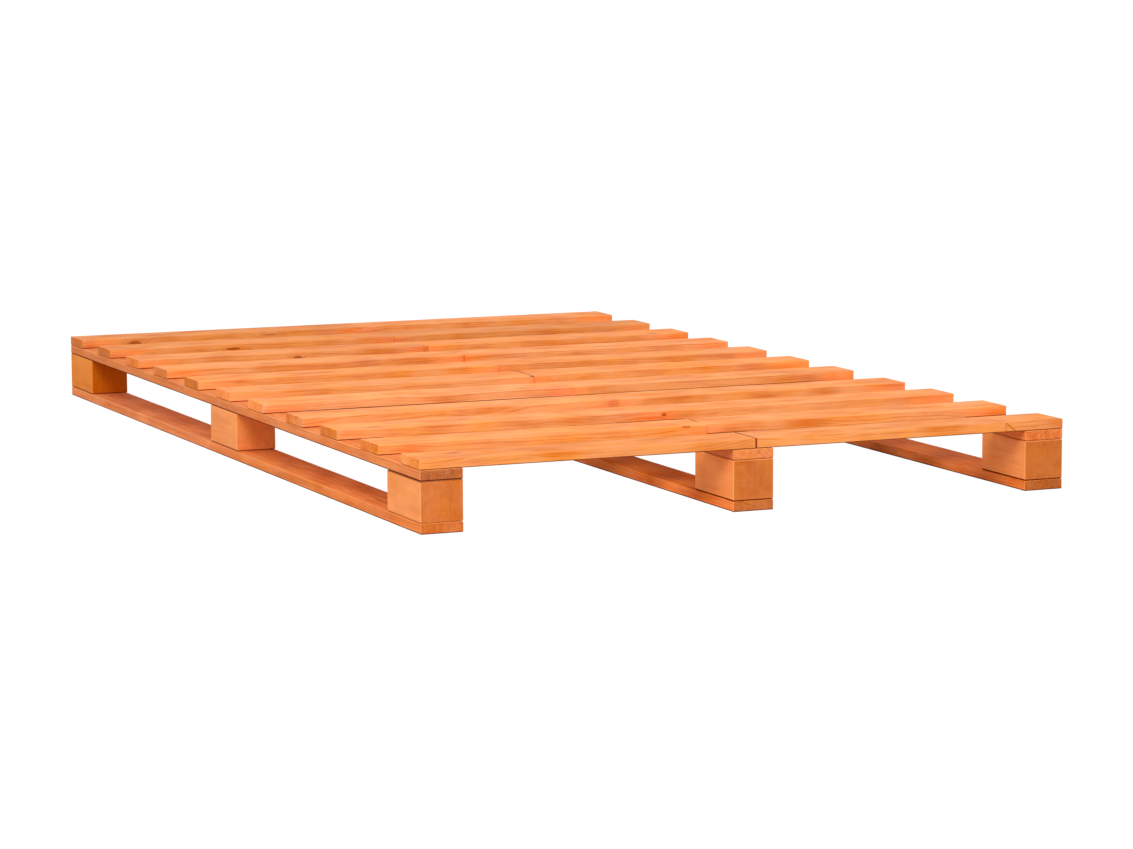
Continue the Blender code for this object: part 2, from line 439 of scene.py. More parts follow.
def makeZincPlate():
    material = bpy.data.materials.new("zinc plated steel")
    material.use_nodes = True
    tree = material.node_tree
    shader = tree.nodes["Principled BSDF"]
    place = addNode(tree, "ShaderNodeTexCoord", {}, give="Object")
    clouds = addNode(
        tree, "ShaderNodeTexNoise", {"Vector": place, "Scale": 1 / zinc["cloudSize"], "Detail": 3}
    )
    plate = addNode(
        tree,
        "ShaderNodeMix",
        {0: clouds, 6: toLinear(zinc["colour"]), 7: toLinear(zinc["cloud"])},
        give=2,
        data_type="RGBA",
    )
    tree.links.new(plate, shader.inputs["Base Color"])
    bright, cloudy = zinc["roughness"]
    rough = addNode(tree, "ShaderNodeMapRange", {0: clouds, 3: bright, 4: cloudy})
    tree.links.new(rough, shader.inputs["Roughness"])
    shader.inputs["Metallic"].default_value = 1
    bump = addNode(
        tree,
        "ShaderNodeBump",
        {"Height": clouds, "Strength": zinc["reliefStrength"], "Distance": zinc["relief"]},
    )
    tree.links.new(bump, shader.inputs["Normal"])
    return material


zincPlate = makeZincPlate()
print("materials made")


# Screws: countersunk, with a six-lobed socket and a rolled thread. Both sizes point up.

screwForms = {
    "block": {
        "diameter": 0.006,
        "head": 0.012,
        "length": 0.1005,
        "socket": 0.0044,
        "socketDepth": 0.0025,
        "pitch": 0.0032,
        "threadStart": 0.040,
        "stepsPerTurn": 5,
        "sides": 24,
    },
    "slat": {
        "diameter": 0.004,
        "head": 0.008,
        "length": 0.03045,
        "socket": 0.0030,
        "socketDepth": 0.0018,
        "pitch": 0.0020,
        "threadStart": 0.010,
        "stepsPerTurn": 4,
        "sides": 12,
    },
}
screwFit = {
    "recess": 0.0006,  # the head sits this far below the wood's face
    "clearance": 0.0003,
    "coreShare": 0.66,  # of the diameter, between the threads
    "crestSlope": 3.4,  # how steeply a thread rises out of the core
    "pointShare": 1.5,  # length of the point, in diameters
    "tipShare": 0.08,  # of the core, at the point's tip
    "lobes": 6,
    "lobeDepth": 0.13,
    "socketFloor": 0.92,  # of the socket's size
    "socketMouth": 1.08,
    "mouthDepth": 0.1,  # of the socket's depth
    "headFace": 0.94,  # of the head's size, inside its eased rim
    "rimDepth": 0.06,  # of the head's size
    "collar": 1.02,  # of the shank's size, at the foot of the countersink
    "neck": 0.92,  # of the shank's size, from the collar to the thread
    "neckStart": 0.7,  # in shank sizes below the head
    "overrun": 0.004,  # a bit comes out this far below the wood
    "bitTip": 0.1,  # of the bit's size
    "bitSides": 24,
    "turn": 2.4,  # radians that each slat screw was driven further round than the last
}


def ringsToMesh(name, rings):
    # rings are arrays of points, one ring above the other, closed by a fan at both ends
    sides = len(rings[0])
    points = np.concatenate(rings)
    faces = []
    for ring in range(len(rings) - 1):
        for side in range(sides):
            a, b = ring * sides + side, ring * sides + (side + 1) % sides
            faces.append((a, b, b + sides, a + sides))
    last = (len(rings) - 1) * sides
    faces.append(tuple(reversed(range(sides))))
    faces.append(tuple(range(last, last + sides)))
    mesh = bpy.data.meshes.new(name)
    mesh.from_pydata(points.tolist(), [], faces)
    shape = bmesh.new()
    shape.from_mesh(mesh)
    bmesh.ops.recalc_face_normals(shape, faces=shape.faces)
    shape.to_mesh(mesh)
    shape.free()
    return mesh


def ringAt(radii, height, angles):
    return np.column_stack((radii * np.cos(angles), radii * np.sin(angles), np.full(len(angles), height)))


def rollScrew(form):
    # from the bottom of the socket out over the head, then up the shank to the point
    fit, sides = screwFit, form["sides"]
    angles = np.arange(sides) * 2 * math.pi / sides
    even = np.ones(sides)
    lobed = 1 + fit["lobeDepth"] * np.cos(fit["lobes"] * angles)
    shank, head, socket = (form[key] / 2 for key in ("diameter", "head", "socket"))
    socketDepth = form["socketDepth"]
    core = shank * fit["coreShare"]
    profile = [
        (socket * fit["socketFloor"] * lobed, socketDepth),
        (socket * lobed, socketDepth * fit["mouthDepth"]),
        (socket * fit["socketMouth"] * lobed, 0),
        (head * fit["headFace"] * even, 0),
        (head * even, head * fit["rimDepth"]),
        (shank * fit["collar"] * even, head - shank),
        (shank * fit["neck"] * even, head - shank * fit["neckStart"]),
        (shank * fit["neck"] * even, form["threadStart"]),
    ]
    pointLength = form["diameter"] * fit["pointShare"]
    step = form["pitch"] / form["stepsPerTurn"]
    height = form["threadStart"] + step
    while height < form["length"] - step:
        turn = (height / form["pitch"] - angles / (2 * math.pi)) % 1
        crest = np.clip(1 - np.abs(turn - 0.5) * fit["crestSlope"], 0, 1)
        taper = min(1, (form["length"] - height) / pointLength)
        profile.append(((core + (shank - core) * crest) * taper, height))
        height += step
    profile.append((core * fit["tipShare"] * even, form["length"]))
    mesh = ringsToMesh("rolledScrew", [ringAt(radii, height, angles) for radii, height in profile])
    mesh.shade_smooth()
    mesh.set_sharp_from_angle(angle=smoothAngle)
    mesh.materials.append(zincPlate)
    return mesh


def drillBit(form):
    # the hole for such a screw: clear of it all round, with a countersink that opens downwards
    fit, sides = screwFit, screwFit["bitSides"]
    # half a step round, so that no edge of a bit runs along the boards' own rows of points
    angles = (np.arange(sides) + 0.5) * 2 * math.pi / sides
    shank = form["diameter"] / 2 + fit["clearance"]
    head = form["head"] / 2 + fit["clearance"]
    top = form["length"] + 2 * fit["clearance"]
    below = fit["recess"] + fit["overrun"]
    tipStart = top - form["diameter"] * fit["pointShare"]
    profile = [
        (head + below, -below),
        (shank, head - shank),
        (shank, tipStart),
        (shank * fit["bitTip"], top),
    ]
    rings = [ringAt(np.full(sides, radius), height, angles) for radius, height in profile]
    return ringsToMesh("drillBit", rings)


screwMeshes = {key: rollScrew(form) for key, form in screwForms.items()}
bitMeshes = {key: drillBit(form) for key, form in screwForms.items()}
blockScrewNodes = sorted(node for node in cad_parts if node.startswith("block_screw_"))
for node in blockScrewNodes:
    screw = newPiece(pieceName(node), screwMeshes["block"], node)
    screw.location = (*middleOf(node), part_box(node)[0].z)


def bitsAt(form, spots, height):
    # a cutter with one drill bit at each (x, y)
    shape = bmesh.new()
    for x, y in spots:
        earlier = len(shape.verts)
        shape.from_mesh(bitMeshes[form])
        shape.verts.ensure_lookup_table()
        bmesh.ops.translate(shape, vec=(x, y, height), verts=shape.verts[earlier:])
    mesh = bpy.data.meshes.new("bits")
    shape.to_mesh(mesh)
    shape.free()
    return mesh


slatRows = sorted({node.split("_")[1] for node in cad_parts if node.startswith("slat_")})
slatScrewPlaces = {
    "besideMiddle": 0.0221,  # along the runner, either way from the slat's middle line
    "besideRunner": 0.0165,  # either way from an outer runner's middle line
}
centreLow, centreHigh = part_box("stringer_centre")
runnerWidth = centreHigh.x - centreLow.x
slatScrewHeight = centreLow.z + screwFit["recess"]
runnerSpots = {"left": [], "centre": [], "right": []}
for side in ("left", "right"):
    outer = middleOf("stringer_" + side)[0]
    for row in slatRows:
        low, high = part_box(f"slat_{row}_{side}")
        middle = middleOf(f"slat_{row}_{side}")[1]
        inner = (low.x + centreHigh.x) / 2 if side == "right" else (high.x + centreLow.x) / 2
        along, aside = slatScrewPlaces["besideMiddle"], slatScrewPlaces["besideRunner"]
        runnerSpots[side] += [(outer + aside, middle - along), (outer - aside, middle + along)]
        runnerSpots["centre"] += [(inner, middle - along), (inner, middle + along)]
for runner, spots in runnerSpots.items():
    shape = bmesh.new()
    for turnNumber, (x, y) in enumerate(spots):
        earlier = len(shape.verts)
        shape.from_mesh(screwMeshes["slat"])
        shape.verts.ensure_lookup_table()
        screw = shape.verts[earlier:]
        turn = turnNumber * screwFit["turn"]
        spin = np.array([[math.cos(turn), -math.sin(turn)], [math.sin(turn), math.cos(turn)]])
        for vert in screw:
            vert.co.x, vert.co.y = spin @ np.array(vert.co.xy)
        bmesh.ops.translate(shape, vec=(x, y, slatScrewHeight), verts=screw)
    mesh = bpy.data.meshes.new("slatScrews")
    shape.to_mesh(mesh)
    shape.free()
    mesh.materials.append(zincPlate)
    newPiece("slatScrews" + runner.capitalize(), mesh, None)
shortScrews = sum(len(spots) for spots in runnerSpots.values())
print("screws made:", len(blockScrewNodes), "long,", shortScrews, "short")


# Boards, blocks and slats. Each is a loft of rounded sections with small dents in its arrises.

boardForms = {
    "slat": {
        "arris": 0.0012,  # radius of the eased edges along it
        "endArris": 0.0003,
        "stations": 0.012,
        "acrossSteps": 4,
        "wander": 0.0001,  # the arrises are eased unevenly by as much as this
        "dentsPerMetre": 4,
        "cup": 0.00005,
        "pithDepth": (0.020, 0.065),  # where in the log it was sawn from
        "pithAside": (-0.035, 0.035),
        "tilt": 0.022,  # metres off the pith's line, per metre along
        "settle": 0.00025,  # down on to the stringers
    },
    "board": {
        "arris": 0.0018,
        "endArris": 0.0012,
        "stations": 0.014,
        "acrossSteps": 4,
        "wander": 0.0003,
        "dentsPerMetre": 5,
        "cup": 0.0002,
        "pithDepth": (0.030, 0.090),
        "pithAside": (-0.050, 0.050),
        "tilt": 0.012,
        "settle": 0,
    },
    "block": {
        "arris": 0.0020,
        "endArris": 0.0014,
        "stations": 0.010,
        "acrossSteps": 4,
        "wander": 0.0002,
        "dentsPerMetre": 8,
        "cup": 0.0001,
        "pithDepth": (0.010, 0.060),
        "pithAside": (-0.050, 0.050),
        "tilt": 0.015,
        "settle": 0,
    },
}
loftSteps = {
    "corner": 4,
    "end": 3,
    "hold": 0.0005,  # flat strip that keeps the shading of an arris off the face beside it
    "least": 0.00003,  # no corner of an end is eased to less than this
}
boardWear = {
    "arrisWaves": (0.31, 0.13, 0.047),
    "cupWaves": (0.9, 0.4),
    "leastCup": 0.4,  # of the form's cup
    "dentLength": (0.003, 0.010),
    "dentDepth": (0.0002, 0.0007),
}
joint = {
    "closing": 0.0007,  # the half slats meet, all but a hair
    "shade": 2.5,  # where they don't, this much painted shade darkens the gap
}


def wanderAlong(along, rng, wavelengths):
    # a slow unevenness between 0 and 1
    total = np.zeros(len(along))
    for wavelength in wavelengths:
        total += np.sin(along * 2 * math.pi / wavelength + rng.uniform(0, 2 * math.pi))
    return 0.5 + total / (2 * len(wavelengths))


def sectionPoints(halfWidth, halfThick, arris, steps):
    # feet and normals of the points round a section, with the corner that each belongs to
    feet, normals, corners, bulge = [], [], [], []
    innerWidth, innerThick = halfWidth - arris, halfThick - arris
    hold = loftSteps["hold"]
    signs = [(1, 1), (-1, 1), (-1, -1), (1, -1)]
    for corner, (signY, signZ) in enumerate(signs):
        start = corner * math.pi / 2
        for step in range(loftSteps["corner"] + 1):
            angle = start + step / loftSteps["corner"] * math.pi / 2
            feet.append((signY * innerWidth, signZ * innerThick))
            normals.append((math.cos(angle), math.sin(angle)))
            corners.append(corner)
            bulge.append(math.sin(step / loftSteps["corner"] * math.pi))
        nextY, nextZ = signs[(corner + 1) % 4]
        begin = np.array([signY * innerWidth, signZ * innerThick])
        finish = np.array([nextY * innerWidth, nextZ * innerThick])
        span = np.linalg.norm(finish - begin)
        shares = [hold / span, *(np.arange(1, steps) / steps), 1 - hold / span]
        for share in shares:
            feet.append(tuple(begin + (finish - begin) * share))
            normals.append((math.cos(start + math.pi / 2), math.sin(start + math.pi / 2)))
            corners.append(-1)
            bulge.append(0)
    return np.array(feet), np.array(normals), np.array(corners), np.array(bulge)


def loftBoard(name, size, form, endArris, rng):
    # in the board's own frame: X along it, Y across it, Z up, from its middle
    halfLength, halfWidth, halfThick = (side / 2 for side in size)
    arris, hold = form["arris"], loftSteps["hold"]
    # at each end, rings round its arris and one on the end face
    rounding = np.linspace(0, math.pi / 2, loftSteps["end"] + 1)
    endPlaces = [halfLength - endArris + endArris * math.sin(angle) for angle in rounding] + [halfLength]
    insets = [endArris * (1 - math.cos(angle)) for angle in rounding] + [endArris + hold]
    inner = halfLength - endArris - hold
    count = max(2, round(2 * inner / form["stations"]))
    places = np.linspace(-inner, inner, count)
    along = np.concatenate((-np.array(endPlaces[::-1]), places, endPlaces))
    inset = np.concatenate((insets[::-1], np.zeros(count), insets))
    feet, normals, corners, bulge = sectionPoints(halfWidth, halfThick, arris, form["acrossSteps"])

    # what is planed or knocked off: arrises that wander, dents, and a slight cup in the top face
    relief = np.zeros((len(along), len(feet)))
    for corner in range(4):
        off = form["wander"] * wanderAlong(along, rng, boardWear["arrisWaves"])
        for dent in range(rng.poisson(form["dentsPerMetre"] * size[0])):
            place, length = rng.uniform(-halfLength, halfLength), rng.uniform(*boardWear["dentLength"])
            off += rng.uniform(*boardWear["dentDepth"]) * np.exp(-(((along - place) / length) ** 2))
        relief += np.outer(off, np.where(corners == corner, bulge, 0))
    onTop = normals[:, 1] > 0.99  # all but straight up
    outward = (feet[:, 0] / halfWidth) ** 2
    hollow = 1 - outward if rng.random() < 0.5 else outward
    share = boardWear["leastCup"]
    cupped = form["cup"] * (share + (1 - share) * wanderAlong(along, rng, boardWear["cupWaves"]))
    relief += np.outer(cupped, np.where(onTop, hollow, 0))
    reach = np.maximum(arris - inset[:, None] - relief, loftSteps["least"])
    y = feet[:, 0] + normals[:, 0] * reach
    z = feet[:, 1] + normals[:, 1] * reach
    x = np.repeat(along[:, None], len(feet), axis=1)
    rings = [np.column_stack((x[i], y[i], z[i])) for i in range(len(along))]
    return ringsToMesh(name, rings)


def drill(mesh, cutters):
    # cuts the holes for good, so that no modifier is left on the mesh
    solid = bpy.data.objects.new("solid", mesh)
    bpy.context.scene.collection.objects.link(solid)
    tools = []
    for cutter in cutters:
        tool = bpy.data.objects.new("tool", cutter)
        bpy.context.scene.collection.objects.link(tool)
        tools.append(tool)
        cut = solid.modifiers.new("holes", "BOOLEAN")
        cut.operation = "DIFFERENCE"
        cut.solver = "EXACT"
        cut.object = tool
    graph = bpy.context.evaluated_depsgraph_get()
    drilled = bpy.data.meshes.new_from_object(solid.evaluated_get(graph))
    for obj in (solid, *tools):
        bpy.data.objects.remove(obj)
    return drilled


def ownFrame(points, middle, alongX):
    # world to board: a runner's boards lie along Y, a slat along X
    offset = points - middle
    if alongX:
        return offset
    return np.column_stack((offset[:, 1], -offset[:, 0], offset[:, 2]))


def writeVectors(mesh, name, values):
    layer = mesh.attributes.new(name, "FLOAT_VECTOR", "POINT")
    layer.data.foreach_set("vector", np.asarray(values, np.float32).ravel())


# Knots and marks that the eye finds. along is from the board's middle, up or aside is where the
# mark comes out of the front or the top face, stretch is how far the cut draws it out along the
# board, lean is how much it slants, and strength is how dark it is.
namedKnots = {
    "slat_11_left": [
        {"along": -0.195, "up": -0.0085, "radius": 0.0105, "stretch": 1.5, "strength": 0.9},
        {"along": 0.100, "up": 0.002, "radius": 0.0014, "stretch": 9.0, "strength": 0.5},
    ],
    "slat_10_left": [
        {"along": -0.0455, "up": -0.001, "radius": 0.0022, "stretch": 6.5, "strength": 1.0},
    ],
    "slat_09_left": [
        {"along": 0.0255, "up": -0.0085, "radius": 0.0100, "stretch": 1.1, "strength": 0.85},
        {"along": 0.3025, "up": 0.000, "radius": 0.0065, "stretch": 1.2, "strength": 0.35},
    ],
    "slat_08_left": [
        {"along": -0.090, "aside": -0.014, "radius": 0.0040, "stretch": 4.0, "strength": 0.7},
    ],
    "slat_04_left": [
        {"along": 0.2955, "up": 0.001, "radius": 0.0095, "stretch": 1.3, "strength": 0.3},
    ],
    "slat_03_right": [
        {"along": -0.2890, "up": 0.002, "radius": 0.0028, "stretch": 1.5, "strength": 0.9},
    ],
    "slat_02_left": [
        {"along": 0.263, "up": 0.0072, "radius": 0.0022, "stretch": 4.0, "strength": 0.6},
    ],
    "slat_02_right": [
        {"along": -0.2939, "aside": 0.017, "radius": 0.022, "stretch": 0.09, "lean": 0.085, "strength": 1},
    ],
    "slat_01_right": [
        {"along": 0.177, "aside": -0.0235, "radius": 0.02, "stretch": 0.09, "lean": -0.38, "strength": 0.5},
        {"along": 0.1952, "up": -0.0015, "radius": 0.009, "stretch": 0.22, "lean": -1.2, "strength": 0.6},
    ],
    "slat_01_left": [
        {"along": -0.2250, "aside": 0.009, "radius": 0.0038, "stretch": 2.8, "strength": 1.0},
    ],
    "stringer_left": [
        {"along": 0.580, "up": 0.000, "radius": 0.0090, "stretch": 0.08, "strength": 0.7},
    ],
}
# boards that have no knot above may get one small one, anywhere on their top face
strayKnots = {
    "share": 0.25,  # of the boards
    "spread": 0.8,  # of the way out to the board's edges
    "radius": (0.003, 0.006),
    "stretch": (1.4, 3.0),
    "strength": (0.3, 0.7),
}
knotDepth = {
    "none": 90.0,  # where there is no knot, further off than its halo reaches
    "straight": 0.002,  # behind the front face, before a knot starts to close
}
# slats that don't quite meet over the centre runner: how far their end arrises are eased
openJoints = {
    "slat_01_left": 0.0006,
    "slat_01_right": 0.0006,
    "slat_06_left": 0.0004,
    "slat_06_right": 0.0004,
}
# how much lighter and how much richer than the rest each board took the stain
boardTones = {
    "slat_01_left": (-0.12, 0.018),
    "slat_01_right": (-0.08, 0.010),
    "slat_02_left": (0, 0.010),
    "slat_04_left": (0.05, -0.004),
    "slat_05_left": (0.07, -0.014),
    "slat_06_right": (0.08, 0.010),
    "slat_07_left": (0.02, 0.010),
    "slat_08_right": (0.06, -0.010),
    "slat_09_left": (-0.05, 0.008),
    "slat_09_right": (0.02, 0.008),
    "slat_10_left": (-0.07, 0.014),
    "slat_10_right": (-0.12, 0.010),
    "slat_11_left": (-0.11, 0.004),
    "slat_11_right": (0.02, -0.004),
    "stringer_left": (0, -0.025),
    "stringer_centre": (0, -0.028),
    "stringer_right": (0, -0.015),
    "base_board_left": (0.02, -0.006),
    "base_board_centre": (0.30, 0.004),
    "base_board_right": (0.05, 0.006),
    "block_left_front": (0.02, 0.006),
    "block_centre_front": (0.08, 0.010),
    "block_right_front": (0, 0.010),
    "block_left_middle": (0.06, 0),
    "block_left_back": (-0.07, 0.080),
}
# painted shade along the lower arrises, for contact shadows and the shade in seams: how dark, where it
# isn't the usual
usualPaintedUnderShade = 0.8
paintedUnderShade = {
    "slat_01_left": 0.9,
    "slat_01_right": 0.9,
    "slat_05_left": 2.6,
    "slat_05_right": 2.6,
    "base_board_left": 2,
    "base_board_centre": 3,
    "base_board_right": 3,
    "stringer_left": 1.8,
    "stringer_centre": 0.5,
    "stringer_right": 0.4,
    "block_left_front": 0.3,
    "block_centre_front": 1.8,
    "block_right_front": 2.4,
}
# upper arrises that get painted seam shade too, and at 0 those that get neither that nor the pale of wear
# and painted highlight
paintedUpperShade = {"block_left_front": 0.7, "base_board_centre": 0, "base_board_right": 0}
# a slat's usual painted shade along its lower arrises: where it lies on an outer runner, as a contact
# shadow, and on the rest of its length
slatPaintedUnderShade = (2.6, 0.2)
# painted shade of the deck on the base boards' upper faces: how much lighter and richer they are, below 0
# darker
paintedTopShades = {
    "base_board_left": (-0.05, 0),
    "base_board_centre": (-0.42, 0.023),
    "base_board_right": (-0.10, 0.024),
}
# how the base boards change towards the back, painted shade under the deck on the centre and right ones:
# from where, over what length, how much lighter their sides and their tops are there, and how much richer
backLooks = {
    "base_board_left": {"start": -0.02, "over": 0.10, "side": 0.10, "top": 0.02, "warmth": -0.035},
    "base_board_centre": {"start": -0.64, "over": 0.10, "side": -0.46, "top": -0.08, "warmth": 0},
    "base_board_right": {"start": -0.74, "over": 0.22, "side": -0.39, "top": 0, "warmth": 0},
}
# slats that lie a little out of square: how much further back their right end lies
slatSkews = {"slat_04_left": 0.002, "slat_05_right": 0.002}
# the half slats' ends that meet took this share of the extra stain of an open end
meetingEndShare = 0.3
# sawn ends: what share of the usual extra stain they took, and how much lighter they dried
endLooks = {
    "slat_01_left": (0.45, 0.21),
    "slat_02_left": (1, 0.20),
    "slat_03_left": (0.93, 0.06),
    "slat_04_left": (0.95, 0.11),
    "slat_05_left": (0.9, 0.33),
    "slat_06_left": (0.82, 0.34),
    "slat_07_left": (1, -0.05),
    "slat_08_left": (1, 0.10),
    "slat_09_left": (1, 0.34),
    "slat_10_left": (1, 0.05),
    "slat_11_left": (1, 0.10),
    "stringer_left": (0.73, -0.25),
    "stringer_centre": (0, 0),
    "stringer_right": (1, 0.33),
    "base_board_left": (0.75, -0.04),
    "base_board_centre": (0, -0.61),
    "base_board_right": (0.48, -0.32),
    "block_left_front": (0.88, -0.10),
    "block_centre_front": (0.85, -0.19),
    "block_right_front": (0.9, -0.13),
    "block_left_middle": (0.55, 0.04),
    "block_left_back": (1, -0.10),
}
logPlaces = {"first": 10, "apart": 3.7}  # metres along the log that each board is sawn from
endDepth = 0.0001  # what lies this near a board's end counts as the end


def knotField(local, knot):
    # across the knot in its own radii, with its strength
    if knot is None:
        return np.tile((knotDepth["none"], knotDepth["none"], 0.0), (len(local), 1))
    lean = knot.get("lean", 0)
    if "up" in knot:
        crosswise = (local[:, 2] - knot["up"]) / knot["radius"]
        behind = local[:, 1] - local[:, 1].min() - knotDepth["straight"]
        behind = behind.clip(0) / (2 * knot["radius"])
        lengthwise = (local[:, 0] - knot["along"] - lean * (local[:, 2] - knot["up"])) / knot["radius"]
        crosswise += behind * np.sign(crosswise)
    else:
        crosswise = (local[:, 1] - knot["aside"]) / knot["radius"]
        lengthwise = (local[:, 0] - knot["along"] - lean * (local[:, 1] - knot["aside"])) / knot["radius"]
    lengthwise /= knot["stretch"]
    return np.column_stack((lengthwise, crosswise, np.full(len(local), knot["strength"])))


def boardBox(node, kind):
    # middle and size: its box in the frame, settled on what carries it and closed up at the joint
    low, high = (np.array(corner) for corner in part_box(node))
    low[2] -= boardForms[kind]["settle"]
    if kind == "slat" and node not in openJoints:
        low[0] -= joint["closing"] * node.endswith("right")
        high[0] += joint["closing"] * node.endswith("left")
    return (low + high) / 2, high - low


def readPoints(mesh):
    points = np.empty(len(mesh.vertices) * 3)
    mesh.vertices.foreach_get("co", points)
    return points.reshape(-1, 3)


def shapeBoard(node, middle, ownSize, alongX, form, endArris, cutters, rng):
    # lofted, turned the way it lies, set in its place and drilled
    mesh = loftBoard("loft", ownSize, form, endArris, rng)
    points = readPoints(mesh)
    if not alongX:
        points = np.column_stack((-points[:, 1], points[:, 0], points[:, 2]))
    points[:, 1] += slatSkews.get(node, 0) * 2 * points[:, 0] / ownSize[0]
    mesh.vertices.foreach_set("co", (points + middle).ravel())
    mesh.update()
    mesh = drill(mesh, cutters)
    mesh.name = pieceName(node)
    mesh.shade_smooth()
    mesh.set_sharp_from_angle(angle=smoothAngle)
    return mesh


def logPlace(local, ownSize, form, seed, rng):
    # where each point grew in the log, whose pith runs along X
    depth = rng.uniform(*form["pithDepth"]) + ownSize[2] / 2
    depth *= rng.choice((-1, 1))
    aside = rng.uniform(*form["pithAside"])
    tiltY, tiltZ = rng.uniform(-form["tilt"], form["tilt"], 2)
    along = local[:, 0] + logPlaces["first"] + seed * logPlaces["apart"]
    y = local[:, 1] - aside + tiltY * local[:, 0]
    z = local[:, 2] - depth + tiltZ * local[:, 0]
    return np.column_stack((along, y, z))


def stainAndShadeLook(node, local, onTop, onEnd, inner):
    # how much lighter and how much richer, with the painted shade on the base boards' tops and towards
    # their backs, and the share of the ends' extra stain
    tone, warmth = boardTones.get(node, (0, 0))
    endShare, endTone = endLooks.get(node, (1, 0))
    # painted shade of the deck on the base boards' tops
    topShade, topShadeWarmth = paintedTopShades.get(node, (0, 0))
    lights = tone + endTone * onEnd + topShade * onTop
    riches = warmth + topShadeWarmth * onTop
    # changes towards the back: painted shade under the deck on the centre and right base boards
    if node in backLooks:
        back = backLooks[node]
        backShare = ((local[:, 0] - back["start"]) / back["over"]).clip(0, 1)
        lights += np.where(onTop, back["top"], back["side"]) * backShare
        riches += back["warmth"] * backShare
    endShares = endShare * onEnd * np.where(inner, meetingEndShare, 1)
    return np.column_stack((lights, riches, endShares))


def arrisWearHighlightShade(node, kind, local, half, endArris, onEnd, inner):
    # 1 where an arris is worn pale, partly a painted highlight, below 0 where painted shade darkens it, and
    # 0 off the arrises
    arris, hold = boardForms[kind]["arris"], loftSteps["hold"]
    fromFaces = half - np.abs(local)
    reach = np.tile((endArris, arris, arris), (len(local), 1)) + hold
    reach[onEnd] = endArris + hold
    onArris = np.sort(((reach - fromFaces) / hold).clip(0, 1), axis=1)[:, 1]
    level = fromFaces[:, 2] < reach[:, 2] - hold / 2
    below, above = level & (local[:, 2] < 0), level & (local[:, 2] > 0)
    under = paintedUnderShade.get(node, usualPaintedUnderShade)
    if kind == "slat" and node not in paintedUnderShade:
        # painted contact shadow where the slat lies on an outer runner
        onRunner = fromFaces[:, 0] < runnerWidth
        under = np.where(onRunner, *slatPaintedUnderShade)[below]
    # painted shade on the lower arrises, and on the upper ones pale wear with a painted highlight or
    # painted seam shade
    onArris[below] *= -under
    onArris[above] *= -paintedUpperShade.get(node, -1)
    if kind == "slat":
        # painted shade in the gap where the half slats don't meet
        meeting = inner & (fromFaces[:, 0] < reach[:, 0])
        onArris[meeting] = -np.abs(onArris[meeting]) * joint["shade"] * (node in openJoints)
    return onArris


def pickKnots(node, kind, half, rng):
    # two knots, or None where it has fewer
    knots = list(namedKnots.get(node, []))
    if not knots and kind != "block" and rng.random() < strayKnots["share"]:
        spread = strayKnots["spread"]
        knots.append(
            {
                "along": rng.uniform(-spread, spread) * half[0],
                "aside": rng.uniform(-spread, spread) * half[1],
                "radius": rng.uniform(*strayKnots["radius"]),
                "stretch": rng.uniform(*strayKnots["stretch"]),
                "strength": rng.uniform(*strayKnots["strength"]),
            }
        )
    return (knots + [None, None])[:2]


def makeBoard(node, kind, seed, cutters):
    rng = np.random.default_rng(seed)
    form = boardForms[kind]
    endArris = openJoints.get(node, form["endArris"])
    middle, size = boardBox(node, kind)
    alongX = size[0] > size[1]
    ownSize = size if alongX else size[[1, 0, 2]]
    mesh = shapeBoard(node, middle, ownSize, alongX, form, endArris, cutters, rng)

    # what the pine needs to know at each point
    local, half = ownFrame(readPoints(mesh), middle, alongX), ownSize / 2
    onEnd = np.abs(local[:, 0]) > half[0] - endDepth
    onTop = local[:, 2] > half[2] - form["arris"] / 2
    inner = (kind == "slat") & (local[:, 0] * middle[0] < 0)  # the half nearer the bed's middle
    writeVectors(mesh, "log", logPlace(local, ownSize, form, seed, rng))
    writeVectors(mesh, "look", stainAndShadeLook(node, local, onTop, onEnd, inner))
    layer = mesh.attributes.new("arris", "FLOAT", "POINT")
    arrises = arrisWearHighlightShade(node, kind, local, half, endArris, onEnd, inner)
    layer.data.foreach_set("value", arrises.astype(np.float32))
    for name, knot in zip(("knotA", "knotB"), pickKnots(node, kind, half, rng)):
        writeVectors(mesh, name, knotField(local, knot))
    mesh.materials.clear()
    mesh.materials.append(pines[kind])
    newPiece(pieceName(node), mesh, node)


seed = 0
for runner, slatSpots in runnerSpots.items():
    blockSpots = {
        place: [middleOf(f"block_screw_{runner}_{place}_{number}") for number in (1, 2)]
        for place in ("front", "middle", "back")
    }
    blockBits = bitsAt("block", sum(blockSpots.values(), []), screwFit["recess"])
    slatBits = bitsAt("slat", slatSpots, slatScrewHeight)
    seed += 1
    makeBoard("base_board_" + runner, "board", seed, [blockBits])
    seed += 1
    makeBoard("stringer_" + runner, "board", seed, [blockBits, slatBits])
    for place, spots in blockSpots.items():
        seed += 1
        bits = bitsAt("block", spots, screwFit["recess"])
        makeBoard(f"block_{runner}_{place}", "block", seed, [bits])
print("runners made")

for side in ("left", "right"):
    for row in slatRows:
        low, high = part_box(f"slat_{row}_{side}")
        spots = [
            (x, y)
            for x, y in runnerSpots[side] + runnerSpots["centre"]
            if low.x < x < high.x and low.y < y < high.y
        ]
        bits = bitsAt("slat", spots, slatScrewHeight)
        seed += 1
        makeBoard(f"slat_{row}_{side}", "slat", seed, [bits])
print("slats made")


# Studio: white surroundings, one large soft lamp above the front left

